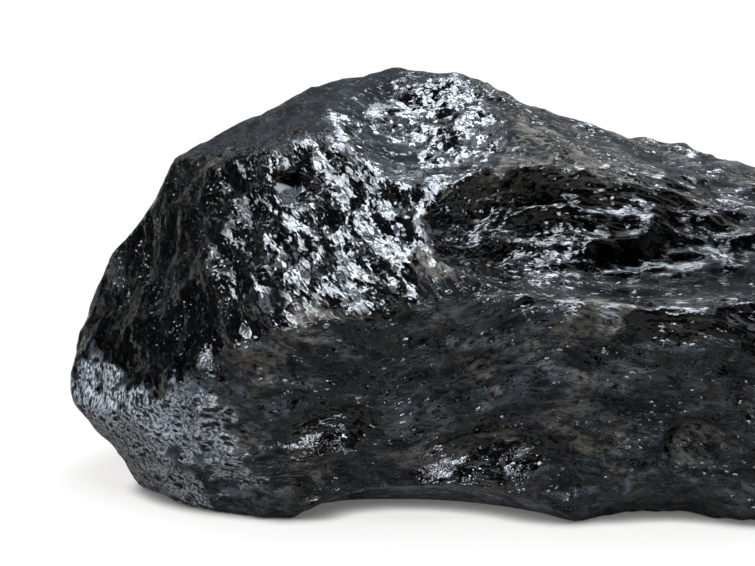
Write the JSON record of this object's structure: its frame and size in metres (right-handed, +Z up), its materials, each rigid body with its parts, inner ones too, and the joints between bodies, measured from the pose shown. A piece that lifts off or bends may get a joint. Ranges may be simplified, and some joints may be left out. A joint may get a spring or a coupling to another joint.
{
  "type": "raw morion quartz",
  "caption": "Rough lump of black smoky quartz with glassy shell-shaped fractures, a humped top that runs down to one end, and a flat underside it lies on.",
  "frame": {"origin": "on the ground under the middle of the stone's box, in the plane it lies on", "axes": "+X along the stone from its blunt humped end to its lower end, -Y its glassy broken front, +Z up"},
  "size_m": [0.2368, 0.1174, 0.1057],
  "materials": {
    "quartz": "gloss"
  },
  "bodies": {
    "root": {"morion_quartz": "quartz"}
  },
  "joints": []
}
